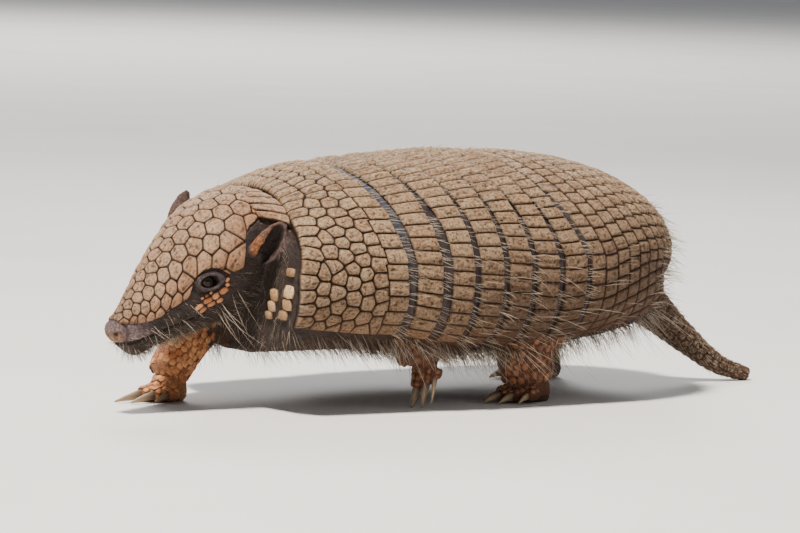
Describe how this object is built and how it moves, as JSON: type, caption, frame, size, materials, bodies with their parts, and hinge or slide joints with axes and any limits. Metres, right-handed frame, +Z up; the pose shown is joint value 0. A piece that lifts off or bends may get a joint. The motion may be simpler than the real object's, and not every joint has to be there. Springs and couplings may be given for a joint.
{
  "type": "armadillo",
  "caption": "Life-size still figure of a walking six-banded armadillo with a jointed-looking plate shell, narrow armoured head, low legs and a tapering tail laid on the floor.",
  "frame": {"origin": "on the floor, under the middle of the bounding box", "axes": "+Z up; the head points towards -X and the tail towards +X; the animal's left side is -Y"},
  "size_m": [0.5248, 0.202, 0.165],
  "materials": {
    "shell_plate": "dry matt horn over bone, light tan to brown",
    "claw_horn": "satin horn",
    "eye_dark": "wet and glossy",
    "face_skin": "bare grey-brown skin",
    "scaly_skin": "small horny scales, orange-brown",
    "body_skin": "dark wrinkled skin"
  },
  "bodies": {
    "root": {"shoulder_shield": "shell_plate", "band_1": "shell_plate", "band_2": "shell_plate", "band_3": "shell_plate", "band_4": "shell_plate", "band_5": "shell_plate", "band_6": "shell_plate", "hip_shield": "shell_plate", "head_shield": "shell_plate", "nuchal_band": "shell_plate", "trunk": "body_skin", "neck": "body_skin", "head": "face_skin", "tail": "scaly_skin", "ear_left": "face_skin", "ear_right": "face_skin", "eye_left": "eye_dark", "eye_right": "eye_dark", "fore_claw_left_1": "claw_horn", "fore_claw_left_2": "claw_horn", "fore_claw_left_3": "claw_horn", "fore_claw_left_4": "claw_horn", "fore_claw_left_5": "claw_horn", "fore_leg_left": "scaly_skin", "fore_claw_right_1": "claw_horn", "fore_claw_right_2": "claw_horn", "fore_claw_right_3": "claw_horn", "fore_claw_right_4": "claw_horn", "fore_claw_right_5": "claw_horn", "fore_leg_right": "scaly_skin", "hind_claw_left_1": "claw_horn", "hind_claw_left_2": "claw_horn", "hind_claw_left_3": "claw_horn", "hind_claw_left_4": "claw_horn", "hind_claw_left_5": "claw_horn", "hind_leg_left": "scaly_skin", "hind_claw_right_1": "claw_horn", "hind_claw_right_2": "claw_horn", "hind_claw_right_3": "claw_horn", "hind_claw_right_4": "claw_horn", "hind_claw_right_5": "claw_horn", "hind_leg_right": "scaly_skin"}
  },
  "joints": []
}
